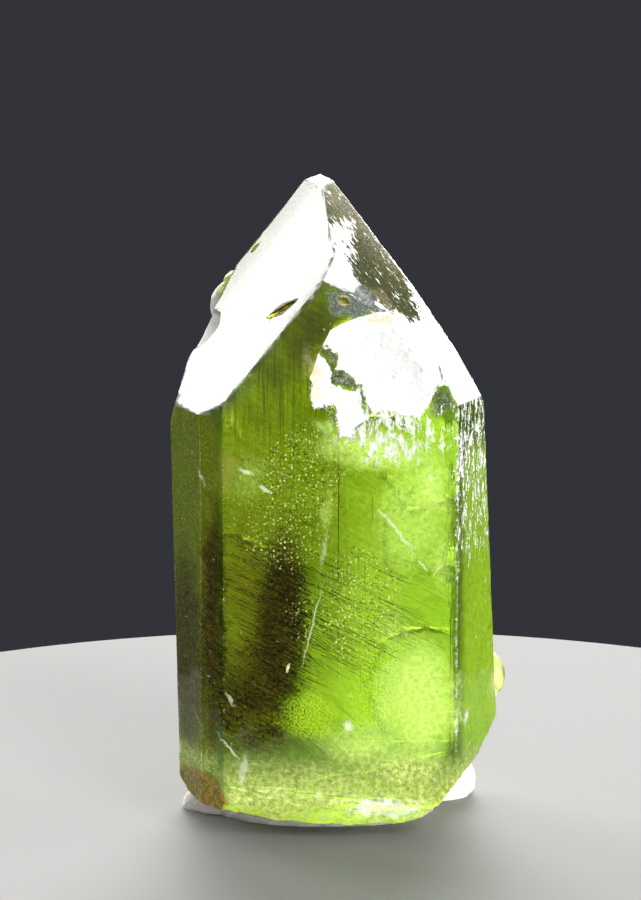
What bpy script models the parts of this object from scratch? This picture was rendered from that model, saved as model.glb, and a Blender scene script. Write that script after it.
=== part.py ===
"""A peridot crystal held upright in white mounting putty.

The crystal's wide front face looks along -Y and its tip points up. Lengths below are in millimetres,
and MM turns them into Blender's metres. The finished part is centred on X = Y = 0 and rests on Z = 0.
"""

import math

import bmesh
import bpy
from mathutils import Matrix, Vector, noise

MM = 0.001

# The heart is a point inside the crystal, from which every crystal face is measured
HEART = (0.0, 0.5, 16.25)

# A face has a bearing round the crystal in degrees (front 0, right positive), a rise above level in
# degrees, and a reach: how far from the heart it lies
PRISM_FACES = {
    "front": (0.0, 0.0, 6.5),
    "front left bevel": (-47.0, 0.0, 8.75),
    "front left side": (-65.0, 0.0, 8.67),
    "left end": (-90.0, -1.3, 8.72),
    "front right side": (65.0, 0.0, 8.86),
    "right end": (90.0, 2.8, 8.60),
    "back": (180.0, 0.0, 6.0),
    "back left side": (-115.0, 0.0, 8.78),
    "back right side": (115.0, 0.0, 8.53),
}
POINT_FACES = {
    "front left pyramid": (-63.5, 35.4, 11.36),
    "front right pyramid": (66.7, 44.9, 13.03),
    "front right shoulder": (64.3, 22.9, 11.33),
    "gable": (12.9, 22.9, 11.51),
    "right shoulder": (100.0, 29.7, 10.44),
    "back right pyramid": (110.0, 28.2, 9.80),
    "back left pyramid": (-115.0, 35.8, 13.18),
    "left shoulder": (-98.0, 24.7, 11.11),
    "low left shoulder": (-92.0, 16.1, 10.25),
    "blunt tip": (-10.0, 84.0, 18.93),
}
BROKEN_FACES = {
    "underside": (180.0, -88.8, 15.20),
    "front foot": (0.0, -34.9, 13.30),
    "high right break": (84.0, -27.2, 12.86),
    "middle right break": (80.0, -38.2, 13.99),
    "low right break": (84.0, -58.9, 15.34),
    "left corner break": (-86.0, -32.9, 14.44),
    "left foot": (-88.0, -83.0, 15.75),
    "low left break": (-80.0, -79.0, 15.44),
}
ROUGH_CUT = 50.0            # edge of the cube that the faces are cut from

# The broken base is hackly up to this height above the ground
HACKLE_TOP = 3.4
HACKLE_FADE = 1.6
HACKLE_EDGE = 1.3           # longest edge of its small facets
HACKLE_DEPTH = 0.24
HACKLE_SIZE = 2.2
HACKLE_LEVEL = 0.01         # an edge that ends this near the top stays whole

# Lumps: centre, radii, the direction that their first radius points in, roughness as a share of the radius
SIDE_LUMPS = {
    "left_nub": ((-5.95, 3.4, 28.75), (1.25, 0.95, 0.78), (0.41, 0.0, 0.91), 0.12),
    "left_nub_crown": ((-5.45, 3.7, 29.7), (0.75, 0.80, 0.60), (0.57, 0.0, 0.82), 0.12),
    "right_nub": ((8.85, 1.2, 8.1), (1.30, 1.05, 0.80), (-0.21, 0.0, 0.98), 0.12),
    "right_nub_foot": ((8.75, 1.0, 7.1), (0.80, 0.90, 0.55), (0.17, 0.0, 0.98), 0.12),
}
PITS = {
    "pyramid_sliver": ((-2.72, -4.47, 29.32), (1.30, 0.42, 0.16), (0.66, -0.58, 0.47), 0.10),
    "gable_pit": ((0.60, -5.75, 30.0), (0.38, 0.36, 0.24), (0.98, 0.0, -0.20), 0.20),
    "tip_chip": ((0.45, 1.9, 35.55), (0.55, 0.70, 0.42), (0.94, 0.0, -0.34), 0.20),
    "left_shoulder_chip": ((-7.30, 1.7, 27.3), (1.45, 3.20, 0.72), (0.43, 0.41, 0.80), 0.12),
    "left_chip_high": ((-8.95, -1.5, 16.7), (0.36, 0.60, 0.28), (0.0, 0.0, 1.0), 0.25),
    "left_chip_low": ((-8.88, -1.6, 11.0), (0.50, 0.55, 0.24), (0.0, 0.0, 1.0), 0.25),
    "bevel_chip": ((-7.45, -4.95, 4.8), (0.75, 0.40, 0.36), (-0.24, 0.0, 0.97), 0.25),
    "right_edge_chip_high": ((7.05, -6.02, 20.0), (0.80, 0.30, 0.36), (0.0, 0.0, 1.0), 0.25),
    "right_edge_chip_low": ((6.98, -6.04, 15.2), (0.95, 0.26, 0.28), (-0.05, 0.0, 1.0), 0.25),
    "right_edge_chip_foot": ((7.0, -6.04, 6.6), (0.60, 0.28, 0.34), (0.07, 0.0, 1.0), 0.25),
    "shoulder_chip": ((8.15, -3.6, 22.6), (0.42, 0.50, 0.34), (0.87, 0.0, -0.50), 0.25),
    "back_edge_chip": ((6.75, 6.5, 14.2), (1.10, 0.45, 0.55), (0.05, 0.0, 1.0), 0.25),
    "back_ridge_chip": ((-3.9, 2.7, 31.6), (0.80, 0.55, 0.45), (0.62, 0.0, 0.78), 0.25),
}
LUMP_SPLITS = 2
LUMP_WAVES = 1.7            # how fine a lump's roughness is, in waves for each radius

# Ledges are shallow flat-floored steps in the front or the back face: the outline's points as (across,
# height), and the depth of the floor. The scar beside the gable is one of them, with a ragged rim
FRONT_LEDGES = {
    "scar": (
        (
            (0.53, 28.76), (-0.11, 28.39), (-0.75, 27.09), (-1.18, 25.80), (-0.75, 25.04), (-0.16, 23.85),
            (0.43, 22.82), (1.18, 23.09), (2.09, 23.74), (3.22, 23.74), (4.29, 24.50), (5.41, 25.15),
            (5.90, 25.69), (5.60, 27.09), (5.00, 28.20), (3.74, 29.30), (2.56, 29.41), (1.55, 29.14),
        ),
        0.13,
    ),
}
BACK_LEDGES = {
    "back_step_low": (((-9.5, 3.0), (-2.4, 5.2), (-1.7, 10.6), (-3.1, 14.8), (-9.5, 17.4)), 0.24),
    "back_step_high": (((1.6, 30.0), (0.6, 25.5), (1.9, 20.8), (4.2, 17.2), (9.5, 18.6), (9.5, 30.0)), 0.20),
    "back_scar": (((3.2, 4.0), (1.9, 7.4), (3.0, 9.9), (5.1, 10.6), (9.5, 9.4), (9.5, 4.0)), 0.30),
}
LEDGE_REACH = 1.0           # how far a ledge's cutter stands out of the face
LEDGE_WELD = 0.001          # points of a cutter that are nearer than this are one point

# Bowls are conchoidal dips in the front face: centre along x and z, radius and depth. A ball in front of
# the face cuts each one
SCAR_BOWLS = (
    ((2.3, 26.4), 2.4, 0.40),
    ((0.8, 24.7), 1.3, 0.26),
    ((3.7, 25.6), 1.6, 0.32),
)
BOWL_SEGMENTS = 40
BOWL_RINGS = 48

# The putty: each lump has a centre, radii and roughness; it's cut level at the ground
PUTTY_GAP = 0.3
PUTTY_LUMPS = {
    "pad": ((-0.4, 1.9, 0.35), (6.4, 4.2, 1.55), 0.05),
    "left_film": ((-6.0, 2.4, 0.22), (2.45, 1.9, 1.22), 0.09),
    "right_lump": ((6.55, 5.75, 0.75), (1.75, 1.55, 1.62), 0.06),
    "right_spread": ((4.6, 5.2, 0.1), (3.3, 1.9, 1.0), 0.08),
}
PUTTY_SPLITS = 3

PERIDOT_GREEN = (0.30, 0.58, 0.03, 1.0)
PERIDOT_ROUGHNESS = 0.05
PERIDOT_CLEARNESS = 1.0
PUTTY_WHITE = (0.84, 0.81, 0.77, 1.0)
PUTTY_ROUGHNESS = 0.75
PUTTY_CLEARNESS = 0.0


def clear_scene():
    for item in list(bpy.data.objects):
        bpy.data.objects.remove(item, do_unlink=True)


def new_collection(name):
    collection = bpy.data.collections.new(name)
    bpy.context.scene.collection.children.link(collection)
    return collection


def new_object(name, bm, collection):
    """Turn a bmesh into an object, with its faces pointing out."""
    bmesh.ops.recalc_face_normals(bm, faces=bm.faces)
    mesh = bpy.data.meshes.new(name)
    bm.to_mesh(mesh)
    bm.free()
    item = bpy.data.objects.new(name, mesh)
    collection.objects.link(item)
    return item


def principled(name, colour, roughness, transmission):
    material = bpy.data.materials.new(name)
    material.use_nodes = True
    shader = material.node_tree.nodes["Principled BSDF"]
    shader.inputs["Base Color"].default_value = colour
    shader.inputs["Roughness"].default_value = roughness
    shader.inputs["Metallic"].default_value = 0.0
    shader.inputs["Transmission Weight"].default_value = transmission
    return material


def face_direction(bearing, rise):
    turn = math.radians(bearing)
    lift = math.radians(rise)
    return Vector((math.sin(turn) * math.cos(lift), -math.cos(turn) * math.cos(lift), math.sin(lift)))


def crystal_block(margin):
    """The crystal's flat faces, cut one by one from a cube, each pushed out by the margin."""
    bm = bmesh.new()
    heart = Vector(HEART)
    bmesh.ops.create_cube(bm, size=ROUGH_CUT, matrix=Matrix.Translation(heart))
    for faces in (PRISM_FACES, POINT_FACES, BROKEN_FACES):
        for bearing, rise, reach in faces.values():
            direction = face_direction(bearing, rise)
            cut = bmesh.ops.bisect_plane(
                bm,
                geom=bm.verts[:] + bm.edges[:] + bm.faces[:],
                plane_co=heart + direction * (reach + margin),
                plane_no=direction,
                clear_outer=True,
            )
            rim = [part for part in cut["geom_cut"] if isinstance(part, bmesh.types.BMEdge)]
            bmesh.ops.edgeloop_fill(bm, edges=rim)
    return bm


def hackle(bm):
    """Break the base into small rough facets, fading out at HACKLE_TOP."""
    bmesh.ops.bisect_plane(
        bm,
        geom=bm.verts[:] + bm.edges[:] + bm.faces[:],
        plane_co=(0.0, 0.0, HACKLE_TOP),
        plane_no=(0.0, 0.0, 1.0),
    )
    base = [face for face in bm.faces if face.calc_center_median().z < HACKLE_TOP]
    bmesh.ops.triangulate(bm, faces=base)
    limit = HACKLE_TOP - HACKLE_LEVEL
    long_edges = True
    while long_edges:
        long_edges = [
            edge for edge in bm.edges
            if edge.calc_length() > HACKLE_EDGE and max(vert.co.z for vert in edge.verts) < limit
        ]
        bmesh.ops.subdivide_edges(bm, edges=long_edges, cuts=1)
        bmesh.ops.triangulate(bm, faces=[face for face in bm.faces if len(face.verts) > 3])
    for vert in bm.verts:
        strength = min(1.0, max(0.0, (HACKLE_TOP - vert.co.z) / HACKLE_FADE))
        if strength > 0.0:
            push = noise.noise_vector(vert.co / HACKLE_SIZE) * HACKLE_DEPTH * strength
            vert.co += push


def rough_ball(name, centre, radii, aim, roughness, splits, collection):
    """A lump: a ball roughened, stretched to its radii, and turned so that the first radius follows aim."""
    bm = bmesh.new()
    bmesh.ops.create_icosphere(bm, subdivisions=splits, radius=1.0)
    for vert in bm.verts:
        vert.co *= 1.0 + roughness * noise.noise(vert.co * LUMP_WAVES + Vector(centre))
    turn = Vector(aim).to_track_quat("X", "Z").to_matrix().to_4x4()
    shape = Matrix.Translation(centre) @ turn @ Matrix.Diagonal((*radii, 1.0))
    bmesh.ops.transform(bm, matrix=Matrix.Scale(MM, 4) @ shape, verts=bm.verts)
    return new_object(name, bm, collection)


def scar_ball(name, centre, radius, depth, collection):
    """The ball whose cap cuts a bowl of this radius and depth into the front face."""
    ball_radius = (radius ** 2 + depth ** 2) / (2.0 * depth)
    front_y = HEART[1] - PRISM_FACES["front"][2]
    x, z = centre
    place = Matrix.Translation((x, front_y + depth - ball_radius, z)) @ Matrix.Rotation(math.pi / 2, 4, "X")
    bm = bmesh.new()
    bmesh.ops.create_uvsphere(bm, u_segments=BOWL_SEGMENTS, v_segments=BOWL_RINGS, radius=ball_radius)
    bmesh.ops.transform(bm, matrix=Matrix.Scale(MM, 4) @ place, verts=bm.verts)
    return new_object(name, bm, collection)


def ledge_plate(name, outline, face_y, depth, collection):
    """A plate of this outline that sinks into the face at face_y by the depth, towards the heart."""
    inward = math.copysign(1.0, HEART[1] - face_y)
    curve = bpy.data.curves.new(name, "CURVE")
    curve.dimensions = "2D"
    curve.fill_mode = "BOTH"
    curve.extrude = (depth + LEDGE_REACH) / 2.0 * MM
    spline = curve.splines.new("POLY")
    spline.points.add(len(outline) - 1)
    for point, (across, height) in zip(spline.points, outline):
        point.co = (across * MM, height * MM, 0.0, 1.0)
    spline.use_cyclic_u = True
    guide = bpy.data.objects.new(name, curve)
    guide.rotation_euler = (math.pi / 2, 0.0, 0.0)
    guide.location.y = (face_y + inward * (depth - LEDGE_REACH) / 2.0) * MM
    collection.objects.link(guide)
    bpy.context.view_layer.update()

    bm = bmesh.new()
    bm.from_mesh(bpy.data.meshes.new_from_object(guide.evaluated_get(bpy.context.evaluated_depsgraph_get())))
    bmesh.ops.remove_doubles(bm, verts=bm.verts, dist=LEDGE_WELD * MM)
    bmesh.ops.transform(bm, matrix=guide.matrix_world, verts=bm.verts)
    bpy.data.objects.remove(guide)
    return new_object(name, bm, collection)


def hide_tool(tool):
    tool.hide_render = True
    tool.display_type = "WIRE"


def combine(item, tool, operation):
    hide_tool(tool)
    change = item.modifiers.new(tool.name, "BOOLEAN")
    change.operation = operation
    change.object = tool


def make_crystal(parts, cutters):
    bm = crystal_block(0.0)
    hackle(bm)
    bmesh.ops.transform(bm, matrix=Matrix.Scale(MM, 4), verts=bm.verts)
    crystal = new_object("peridot_crystal", bm, parts)
    crystal.data.materials.append(principled("peridot", PERIDOT_GREEN, PERIDOT_ROUGHNESS, PERIDOT_CLEARNESS))
    for name, (centre, radii, aim, roughness) in SIDE_LUMPS.items():
        combine(crystal, rough_ball(name, centre, radii, aim, roughness, LUMP_SPLITS, cutters), "UNION")
    front_y = HEART[1] - PRISM_FACES["front"][2]
    back_y = HEART[1] + PRISM_FACES["back"][2]
    for face_y, ledges in ((front_y, FRONT_LEDGES), (back_y, BACK_LEDGES)):
        for name, (outline, depth) in ledges.items():
            combine(crystal, ledge_plate(name, outline, face_y, depth, cutters), "DIFFERENCE")
    for index, (centre, radius, depth) in enumerate(SCAR_BOWLS):
        combine(crystal, scar_ball(f"scar_{index}", centre, radius, depth, cutters), "DIFFERENCE")
    for name, (centre, radii, aim, roughness) in PITS.items():
        combine(crystal, rough_ball(name, centre, radii, aim, roughness, LUMP_SPLITS, cutters), "DIFFERENCE")
    return crystal


def make_putty(parts, cutters):
    """The putty's lumps joined, cut level at the ground, and pressed in by the crystal."""
    lumps = [
        rough_ball(name, centre, radii, (1.0, 0.0, 0.0), roughness, PUTTY_SPLITS, cutters)
        for name, (centre, radii, roughness) in PUTTY_LUMPS.items()
    ]
    putty = lumps[0].copy()
    putty.data = lumps[0].data.copy()
    putty.name = "mounting_putty"
    parts.objects.link(putty)
    hide_tool(lumps[0])
    putty.data.materials.append(principled("white_putty", PUTTY_WHITE, PUTTY_ROUGHNESS, PUTTY_CLEARNESS))
    for lump in lumps[1:]:
        combine(putty, lump, "UNION")

    bm = bmesh.new()
    below = Matrix.Translation((0.0, 0.0, -ROUGH_CUT * MM / 2.0))
    bmesh.ops.create_cube(bm, size=ROUGH_CUT * MM, matrix=below)
    combine(putty, new_object("ground", bm, cutters), "DIFFERENCE")

    bm = crystal_block(PUTTY_GAP)
    bmesh.ops.transform(bm, matrix=Matrix.Scale(MM, 4), verts=bm.verts)
    combine(putty, new_object("crystal_imprint", bm, cutters), "DIFFERENCE")
    return putty


def apply_changes(item):
    """Keep the shape that an object's modifiers give, and remove them."""
    shaped = item.evaluated_get(bpy.context.evaluated_depsgraph_get())
    mesh = bpy.data.meshes.new_from_object(shaped)
    item.modifiers.clear()
    item.data = mesh


def centre_on_ground(items):
    """Move the parts so that their common box is centred on X = Y = 0 and stands on Z = 0."""
    corners = [vert.co for item in items for vert in item.data.vertices]
    low = Vector(min(corner[axis] for corner in corners) for axis in range(3))
    high = Vector(max(corner[axis] for corner in corners) for axis in range(3))
    shift = Vector((-(low.x + high.x) / 2.0, -(low.y + high.y) / 2.0, -low.z))
    for item in items:
        item.data.transform(Matrix.Translation(shift))


def main():
    clear_scene()
    parts = new_collection("peridot_specimen")
    cutters = new_collection("cutters")
    pieces = (make_crystal(parts, cutters), make_putty(parts, cutters))
    bpy.context.view_layer.update()
    for piece in pieces:
        apply_changes(piece)
    centre_on_ground(pieces)


main()
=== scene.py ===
# %% [markdown]
# # A peridot crystal in white putty
#
# Peridot is the clear green gem form of olivine. This one is a single upright crystal with a wide front face,
# narrow side faces and a chisel-like point. Its broken foot is pressed into a little white mounting putty.
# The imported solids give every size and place. This file gives the crystal its fine surface, its green body
# and everything that is caught inside it: needles, specks, veils and a brown cloud.

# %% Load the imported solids
import math
import random

import bmesh
import bpy
import numpy as np
from mathutils import Matrix, Vector, noise
from mathutils.bvhtree import BVHTree


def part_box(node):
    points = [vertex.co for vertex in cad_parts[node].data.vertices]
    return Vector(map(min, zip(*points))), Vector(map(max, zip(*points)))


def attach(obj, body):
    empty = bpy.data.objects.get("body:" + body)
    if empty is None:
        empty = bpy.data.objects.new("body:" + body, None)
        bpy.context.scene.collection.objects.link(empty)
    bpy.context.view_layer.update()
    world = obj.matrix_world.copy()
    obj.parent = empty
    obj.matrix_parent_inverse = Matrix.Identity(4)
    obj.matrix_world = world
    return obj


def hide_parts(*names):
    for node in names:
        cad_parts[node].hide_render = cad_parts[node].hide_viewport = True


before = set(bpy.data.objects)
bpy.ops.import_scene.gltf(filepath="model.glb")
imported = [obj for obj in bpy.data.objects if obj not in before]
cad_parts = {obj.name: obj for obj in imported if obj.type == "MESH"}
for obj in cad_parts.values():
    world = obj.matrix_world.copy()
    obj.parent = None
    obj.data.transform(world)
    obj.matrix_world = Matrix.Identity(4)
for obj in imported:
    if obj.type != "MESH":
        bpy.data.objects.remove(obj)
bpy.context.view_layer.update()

# %% [markdown]
# ## Measures
#
# The stone is only 35 mm tall, so lengths are written in millimetres and turned into metres by `MM`.
# Places on the crystal are counted from its own centre line, which is a fixed way in from the left end of
# its box, and from the flat front face. The front face is found by measuring: of all the levels at which
# triangles look straight to the front, it is the one with the largest area.

# %% Find the centre line and the front face
MM = 0.001
LEFT_END = 8.87             # from the left end of the crystal's box to its centre line

crystal_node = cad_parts["peridot_crystal"]
putty_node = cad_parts["mounting_putty"]
crystal_low, crystal_high = (Vector(corner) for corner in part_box("peridot_crystal"))

levels = {}
for face in crystal_node.data.polygons:
    if face.normal.y < -0.9999:
        level = round(face.center.y / MM, 2)
        levels[level] = levels.get(level, 0.0) + face.area / MM ** 2
front_y = max(levels, key=levels.get)
centre_x = crystal_low.x / MM + LEFT_END
print(f"front face at y = {front_y} mm, {levels[front_y]:.0f} mm2; centre line at x = {centre_x:.3f} mm")


def place(across, height, depth=0.0):
    """A point in metres from millimetres across, above the ground, and behind the front face."""
    return Vector((centre_x + across, front_y + depth, height)) * MM


# %% [markdown]
# ## Node arithmetic
#
# A pattern is easier to read as a sum than as a web of nodes. `Wire` holds one socket of a node tree, and
# Python's own signs build the Math nodes behind it, so `1 - mask * 2` is a Subtract fed by a Multiply.
# Every other kind of node comes from `node`, which takes a type, its settings and its values.

# %% A socket with arithmetic
class Wire:
    def __init__(self, tree, socket=None):
        self.tree = tree
        self.socket = socket

    def node(self, kind, settings=None, values=None, out=0):
        made = self.tree.nodes.new(kind)
        for key, value in (settings or {}).items():
            setattr(made, key, value)
        for key, value in (values or {}).items():
            if isinstance(value, Wire):
                self.tree.links.new(value.socket, made.inputs[key])
            else:
                made.inputs[key].default_value = value
        return Wire(self.tree, made.outputs[out]) if len(made.outputs) else made

    def maths(self, operation, *values):
        return self.node("ShaderNodeMath", {"operation": operation}, dict(enumerate((self, *values))))

    def __add__(self, other):
        return self.maths("ADD", other)

    def __sub__(self, other):
        return self.maths("SUBTRACT", other)

    def __mul__(self, other):
        return self.maths("MULTIPLY", other)

    def __rsub__(self, other):
        return (self * -1.0) + other

    __radd__ = __add__
    __rmul__ = __mul__

    def step(self, low, high):
        """0 below low, 1 above high, and a smooth rise between them."""
        values = {"Value": self, "From Min": low, "From Max": high}
        return self.node("ShaderNodeMapRange", {"interpolation_type": "SMOOTHSTEP"}, values)

    def fall(self, low, high):
        """1 below low, 0 above high."""
        return 1.0 - self.step(low, high)

    def greater(self, other):
        return self.maths("MAXIMUM", other)

    def vector(self, operation, *values, out=0):
        sockets = dict(enumerate((self, *values)))
        return self.node("ShaderNodeVectorMath", {"operation": operation}, sockets, out)

    def noise(self, scale, detail=3.0, roughness=0.55, out=0):
        values = {"Vector": self, "Scale": scale, "Detail": detail, "Roughness": roughness}
        return self.node("ShaderNodeTexNoise", None, values, out)

    def ragged(self, scale, reach):
        """This place, pushed about by noise, so that a shape drawn with it has a ragged rim."""
        push = self.joined(self.noise(scale, 2.0, 0.6, "Color").channels())
        push = push.vector("SUBTRACT", (0.5, 0.5, 0.5))
        return self.vector("ADD", push.vector("MULTIPLY", (reach, reach, reach)))

    def channels(self):
        """The red, green and blue of a colour."""
        split = self.node("ShaderNodeSeparateColor", None, {0: self})
        return [Wire(self.tree, socket) for socket in split.socket.node.outputs]

    def joined(self, values):
        """A vector made of three values."""
        return self.node("ShaderNodeCombineXYZ", None, dict(enumerate(values)))

    def oval(self, centre, radii, tilt=0.0, core=0.45, rim=1.1):
        """1 inside an oval and 0 outside. A positive tilt in degrees turns its right end down."""
        turn = math.radians(tilt)
        along = Vector((math.cos(turn), 0.0, -math.sin(turn))) / radii[0]
        through = Vector((0.0, 1.0, 0.0)) / radii[1]
        upward = Vector((math.sin(turn), 0.0, math.cos(turn))) / radii[2]
        away = self.vector("SUBTRACT", centre)
        local = [away.vector("DOT_PRODUCT", axis, out="Value") for axis in (along, through, upward)]
        return self.joined(local).vector("LENGTH", out="Value").fall(core, rim)

    def blend(self, first, second):
        """The first colour where this mask is 0, and the second where it is 1."""
        settings = {"data_type": "RGBA", "clamp_factor": True}
        return self.node("ShaderNodeMix", settings, {0: self, 6: first, 7: second}, 2)

    def mark(self, name):
        """The value that the mesh stores under this name."""
        return self.node("ShaderNodeAttribute", {"attribute_name": name}, None, "Fac")

    def principled(self, values):
        return self.node("ShaderNodeBsdfPrincipled", None, values)


def new_material(name):
    """An empty node material, with its output node and a wire to start from."""
    material = bpy.data.materials.new(name)
    material.use_nodes = True
    material.node_tree.nodes.clear()
    output = material.node_tree.nodes.new("ShaderNodeOutputMaterial")
    return material, Wire(material.node_tree), output


def dress(material, output, shader):
    """Let a shader be the whole surface of its material."""
    material.node_tree.links.new(shader.socket, output.inputs["Surface"])
    return material


def object_millimetres(start):
    """Where a surface point is, in millimetres from the crystal's centre line, front face and ground."""
    point = start.node("ShaderNodeTexCoord", None, None, "Object").vector("SCALE")
    point.socket.node.inputs["Scale"].default_value = 1.0 / MM
    return point.vector("SUBTRACT", (centre_x, front_y, 0.0))


def parts_of(point):
    """The x, y and z of a vector wire."""
    split = point.node("ShaderNodeSeparateXYZ", None, {0: point})
    return [Wire(point.tree, socket) for socket in split.socket.node.outputs]


# %% [markdown]
# ## The crystal's fine surface
#
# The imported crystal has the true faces, but only a few large triangles on each. Light that passes through a
# perfectly flat face looks like window glass. A real crystal face is a little wavy, and carries fine upright
# lines. So a copy of the mesh is merged and cut into a fine grid by planes along each axis. The cuts leave
# every face as flat as before, and give it the points that the next step can move.

# %% Copy the crystal and cut it into a grid
GRID = 0.36 * MM
MERGE = 1.5e-6


def merged_copy(node):
    bm = bmesh.new()
    bm.from_mesh(node.data)
    bmesh.ops.remove_doubles(bm, verts=bm.verts, dist=MERGE)
    return bm


def cut_grid(bm, low, high, step):
    for axis in range(3):
        direction = Vector((0.0, 0.0, 0.0))
        direction[axis] = 1.0
        for index in range(1, int((high[axis] - low[axis]) / step) + 1):
            bmesh.ops.bisect_plane(
                bm,
                geom=bm.verts[:] + bm.edges[:] + bm.faces[:],
                plane_co=low + direction * step * index,
                plane_no=direction,
            )
    bmesh.ops.remove_doubles(bm, verts=bm.verts, dist=MERGE)
    bmesh.ops.dissolve_degenerate(bm, edges=bm.edges, dist=MERGE)


crystal_bm = merged_copy(crystal_node)
cut_grid(crystal_bm, crystal_low, crystal_high, GRID)
open_edges = sum(not edge.is_manifold for edge in crystal_bm.edges)
print(f"crystal grid: {len(crystal_bm.faces)} faces, open edges: {open_edges}")

# %% [markdown]
# Some things are read from the cut mesh before it is moved, and stored as attributes, so that the material
# can change in the same places as the mesh: how near a point is to a sharp edge, how deep it lies in the
# scar, how far down the broken foot it is, and which facet of the crystal's point it belongs to. A facet is
# known by the way it looks: a bearing round the stone, with the front at 0 and right positive, and a rise
# above level.

# %% Measure edges, scar, foot and facets
SHARP = math.radians(14.0)
SCAR_ACROSS = (-1.6, 6.4)
SCAR_HEIGHT = (21.5, 30.0)
SCAR_FLOOR = 0.12
FOOT_TOP = 6.0
FOOT_FADE = 3.6
FACETS = {
    "left_facet": (-63.5, 35.4),
    "right_facet": (66.7, 44.9),
    "shoulder": (64.3, 22.9),
    "gable": (12.9, 22.9),
}
SAME_WAY = math.cos(math.radians(6.0))


def direction(bearing, rise):
    turn, lift = math.radians(bearing), math.radians(rise)
    return Vector((math.sin(turn) * math.cos(lift), -math.cos(turn) * math.cos(lift), math.sin(lift)))


def smooth(value, low, high):
    """0 below low, 1 above high, and a smooth rise between them."""
    share = min(1.0, max(0.0, (value - low) / (high - low)))
    return share * share * (3.0 - 2.0 * share)


def from_centre(co):
    """A place in millimetres across, behind the front face, and above the ground."""
    return co / MM - Vector((centre_x, front_y, 0.0))


crystal_bm.normal_update()
marks = {name: crystal_bm.verts.layers.float.new(name) for name in ("edge", "scar", "foot", *FACETS)}

for edge in crystal_bm.edges:
    if edge.is_manifold and edge.calc_face_angle(0.0) > SHARP:
        for vert in edge.verts:
            vert[marks["edge"]] = 1.0

for vert in crystal_bm.verts:
    spot = from_centre(vert.co)
    in_scar = SCAR_ACROSS[0] < spot.x < SCAR_ACROSS[1] and SCAR_HEIGHT[0] < spot.z < SCAR_HEIGHT[1]
    if in_scar and spot.y < 0.6 and vert.normal.y < -0.6:
        vert[marks["scar"]] = smooth(spot.y, 0.004, SCAR_FLOOR)
    vert[marks["foot"]] = smooth(-spot.z, -FOOT_TOP, FOOT_FADE - FOOT_TOP)
    for name, (bearing, rise) in FACETS.items():
        way = direction(bearing, rise)
        same = sum(face.normal.dot(way) > SAME_WAY for face in vert.link_faces)
        vert[marks[name]] = same / len(vert.link_faces)

for name, layer in marks.items():
    print(f"{name}: {sum(vert[layer] > 0.5 for vert in crystal_bm.verts)} points")

# %% [markdown]
# Now the points move, each along its own normal. The whole face waves by about a hundredth of a millimetre,
# the prism faces carry upright lines, the scar is etched, the foot is hackly, and the sharp edges are worn
# back a little, more in some places than in others. Each line below is a height times a noise, and the
# noise's scale says how many waves it makes in a millimetre.

# %% Move the points
def surface_push(spot, normal, scar, foot):
    """How far a point moves out along its normal, in millimetres."""
    wave = 0.014 * noise.noise(spot * 0.55)
    upright = 1.0 - abs(normal.z)
    lines = 0.006 * upright * noise.noise(Vector((spot.x * 2.6, spot.y * 2.6, spot.z * 0.16)))
    etched = 0.055 * scar * noise.noise(spot * 2.3) + 0.035 * scar * noise.noise(spot * 5.1)
    hackly = 0.09 * foot * noise.noise(spot * 1.4) + 0.05 * foot * noise.noise(spot * 3.7)
    return wave + lines + etched + hackly


for vert in crystal_bm.verts:
    spot = from_centre(vert.co)
    push = surface_push(spot, vert.normal, vert[marks["scar"]], vert[marks["foot"]])
    nick = 0.035 * vert[marks["edge"]] * (1.0 + noise.noise(spot * 2.1))
    vert.co += vert.normal * (push - nick) * MM

crystal_walls = BVHTree.FromBMesh(crystal_bm)


def finish_mesh(name, bm, sharp_angle):
    """A new object at the origin from a bmesh, smooth but for its sharp edges."""
    mesh = bpy.data.meshes.new(name)
    bm.to_mesh(mesh)
    bm.free()
    mesh.shade_smooth()
    mesh.set_sharp_from_angle(angle=sharp_angle)
    piece = bpy.data.objects.new(name, mesh)
    bpy.context.scene.collection.objects.link(piece)
    return piece


SURFACE_SHARP = 16.0        # degrees between two faces, above which their edge is drawn sharp
crystal = finish_mesh("peridot_crystal_surface", crystal_bm, math.radians(SURFACE_SHARP))
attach(crystal, "root")
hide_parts("peridot_crystal")
print(f"crystal surface: {len(crystal.data.polygons)} faces, sharp above {SURFACE_SHARP:.0f} degrees")

# %% [markdown]
# The crystal's zones are broad: a brown cloud, milk on the right, swarms of grains, the scar's lobes. Each
# zone is a table of ovals on the front face. They are worked out here once, point by point, with a rim pushed
# about by noise, and stored in the mesh as attributes. The material then only has to read a value at each
# place, which is much faster than to draw dozens of ovals again for every ray of light.

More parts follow.
